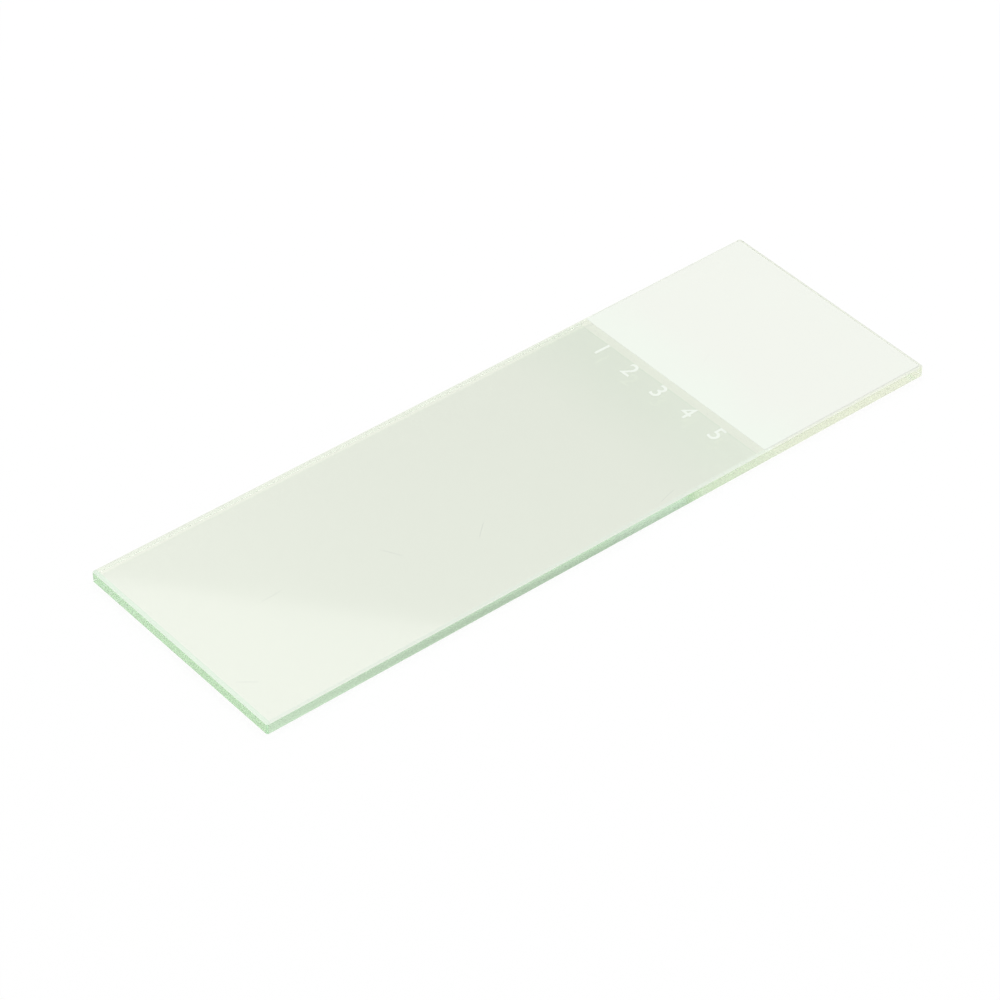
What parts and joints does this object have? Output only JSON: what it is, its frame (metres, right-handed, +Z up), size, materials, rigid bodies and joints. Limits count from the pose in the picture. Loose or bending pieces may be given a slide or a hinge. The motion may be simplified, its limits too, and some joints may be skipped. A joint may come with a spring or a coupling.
{
  "type": "microscope slide",
  "caption": "Flat clear glass slide with fine-ground bevelled edges and a white printed marking area across one end, for holding a specimen under a microscope.",
  "frame": {"origin": "middle of the underside, on the surface that the slide lies on", "axes": "+X along the slide towards the marked end, +Y across it, +Z up out of the marked face"},
  "size_m": [0.075, 0.025, 0.0012],
  "materials": {
    "clear_glass": "polished faces, fine-ground edges, pale green through the edge",
    "white_print": "smooth opaque white print, slightly glossy"
  },
  "bodies": {
    "root": {"glass_plate": "clear_glass", "marking_area": "white_print"}
  },
  "joints": []
}
